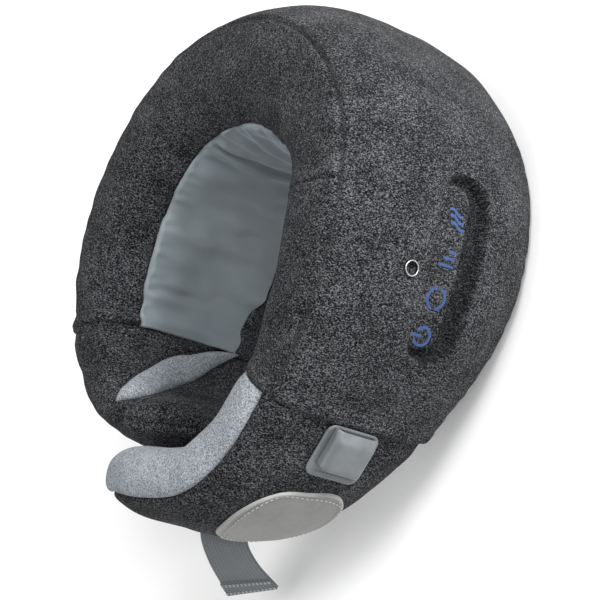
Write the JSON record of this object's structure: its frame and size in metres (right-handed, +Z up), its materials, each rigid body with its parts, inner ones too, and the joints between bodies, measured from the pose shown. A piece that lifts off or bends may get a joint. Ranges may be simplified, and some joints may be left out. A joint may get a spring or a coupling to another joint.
{
  "type": "shiatsu neck massager",
  "caption": "Horseshoe neck cushion with kneading nodes behind its liner, an outer key panel, and soft arms that open at the front.",
  "frame": {"origin": "on the floor plane under the middle of the nape section, where the cushion rests", "axes": "+Z up along the neck, +Y towards the nape, -Y towards the throat, +X towards the key panel side"},
  "size_m": [0.2557, 0.3208, 0.1342],
  "materials": {
    "dark_knit": "mottled dark grey knit",
    "light_knit": "light grey heather knit",
    "satin": "smooth blue-grey lining with a soft sheen",
    "foam": "moulded polyurethane foam",
    "black_plastic": "moulded, fine texture",
    "grey_plastic": "moulded nylon",
    "white_plastic": "acetal gear",
    "steel": "turned and plated",
    "brass": "turned",
    "circuit": "glass-epoxy board with solder mask",
    "cell_wrap": "shrink wrap",
    "coated": "coated fabric with a satin gloss",
    "label": "coated fabric with a stitched border",
    "webbing": "ribbed woven webbing",
    "hook": "hook tape"
  },
  "bodies": {
    "cushion": {"main_foam": "foam", "sleeve_cover": "dark_knit", "neck_liner": "satin", "heater_film": "black_plastic", "chassis_plate": "black_plastic", "battery_holder": "black_plastic", "right_battery_cell": "cell_wrap", "left_battery_cell": "cell_wrap", "main_board": "circuit", "control_tray": "dark_knit", "key_board": "circuit", "dc_jack": "black_plastic", "jack_ring": "steel", "right_gearbox_front": "grey_plastic", "right_gearbox_rear": "grey_plastic", "right_motor": "steel", "right_shaft_bush": "brass", "left_gearbox_front": "grey_plastic", "left_gearbox_rear": "grey_plastic", "left_motor": "steel", "left_shaft_bush": "brass"},
    "right_arm": {"right_arm_foam": "foam", "right_arm_cover": "dark_knit", "right_comfort_strip": "light_knit", "label_patch": "label", "hook_tape": "hook", "keeper_base": "coated", "keeper_band": "coated"},
    "left_arm": {"left_arm_foam": "foam", "left_arm_cover": "dark_knit", "left_comfort_strip": "light_knit"},
    "strap": {"webbing_strap": "webbing"},
    "right_kneader": {"right_worm_wheel": "white_plastic", "right_output_shaft": "steel", "right_rotor_arm": "black_plastic", "right_upper_node": "black_plastic", "right_lower_node": "black_plastic", "right_rotor_screw": "steel"},
    "right_worm_shaft": {"right_worm": "brass"},
    "left_kneader": {"left_worm_wheel": "white_plastic", "left_output_shaft": "steel", "left_rotor_arm": "black_plastic", "left_upper_node": "black_plastic", "left_lower_node": "black_plastic", "left_rotor_screw": "steel"},
    "left_worm_shaft": {"left_worm": "brass"},
    "power_button": {"power_key": "dark_knit"},
    "rotation_button": {"rotation_key": "dark_knit"},
    "intensity_button": {"intensity_key": "dark_knit"},
    "heat_button": {"heat_key": "dark_knit"}
  },
  "joints": [
    {"name": "right_arm_open", "type": "hinge", "parent": "cushion", "child": "right_arm", "pos_m": [0.11049, -0.17118, 0.07], "axis": [0, 0, 1], "range_deg": [0, 25], "stiffness_Nm_per_rad": 3},
    {"name": "left_arm_open", "type": "hinge", "parent": "cushion", "child": "left_arm", "pos_m": [-0.1097, -0.17292, 0.07], "axis": [0, 0, -1], "range_deg": [0, 25], "stiffness_Nm_per_rad": 3},
    {"name": "strap_swing", "type": "hinge", "parent": "right_arm", "child": "strap", "pos_m": [0.0015, -0.24025, 0.05841], "axis": [-0.9217, -0.1007, 0.3746], "range_deg": [-30, 35], "stiffness_Nm_per_rad": 0.05},
    {"name": "right_kneader_spin", "type": "hinge", "parent": "cushion", "child": "right_kneader", "pos_m": [0.05421, -0.01642, 0.065], "axis": [0.5319, 0.8468, 0], "continuous": true},
    {"name": "right_worm_spin", "type": "hinge", "parent": "cushion", "child": "right_worm_shaft", "pos_m": [0.07453, -0.02918, 0.065], "axis": [0, 0, 1], "continuous": true},
    {"name": "left_kneader_spin", "type": "hinge", "parent": "cushion", "child": "left_kneader", "pos_m": [-0.05421, -0.01642, 0.065], "axis": [-0.5319, 0.8468, 0], "continuous": true},
    {"name": "left_worm_spin", "type": "hinge", "parent": "cushion", "child": "left_worm_shaft", "pos_m": [-0.07453, -0.02918, 0.065], "axis": [0, 0, 1], "continuous": true},
    {"name": "power_press", "type": "slide", "parent": "cushion", "child": "power_button", "axis": [-0.9971, 0.0767, 0], "range_m": [0, 0.0008], "stiffness_N_per_m": 700},
    {"name": "rotation_press", "type": "slide", "parent": "cushion", "child": "rotation_button", "axis": [-0.9985, -0.055, 0], "range_m": [0, 0.0008], "stiffness_N_per_m": 700},
    {"name": "intensity_press", "type": "slide", "parent": "cushion", "child": "intensity_button", "axis": [-0.9778, -0.2096, 0], "range_m": [0, 0.0008], "stiffness_N_per_m": 700},
    {"name": "heat_press", "type": "slide", "parent": "cushion", "child": "heat_button", "axis": [-0.9432, -0.3323, 0], "range_m": [0, 0.0008], "stiffness_N_per_m": 700}
  ],
  "couplings": [
    {"joint": "left_arm_open", "follows": "right_arm_open", "ratio": 1},
    {"joint": "right_worm_spin", "follows": "right_kneader_spin", "ratio": 24},
    {"joint": "left_worm_spin", "follows": "left_kneader_spin", "ratio": 24}
  ]
}
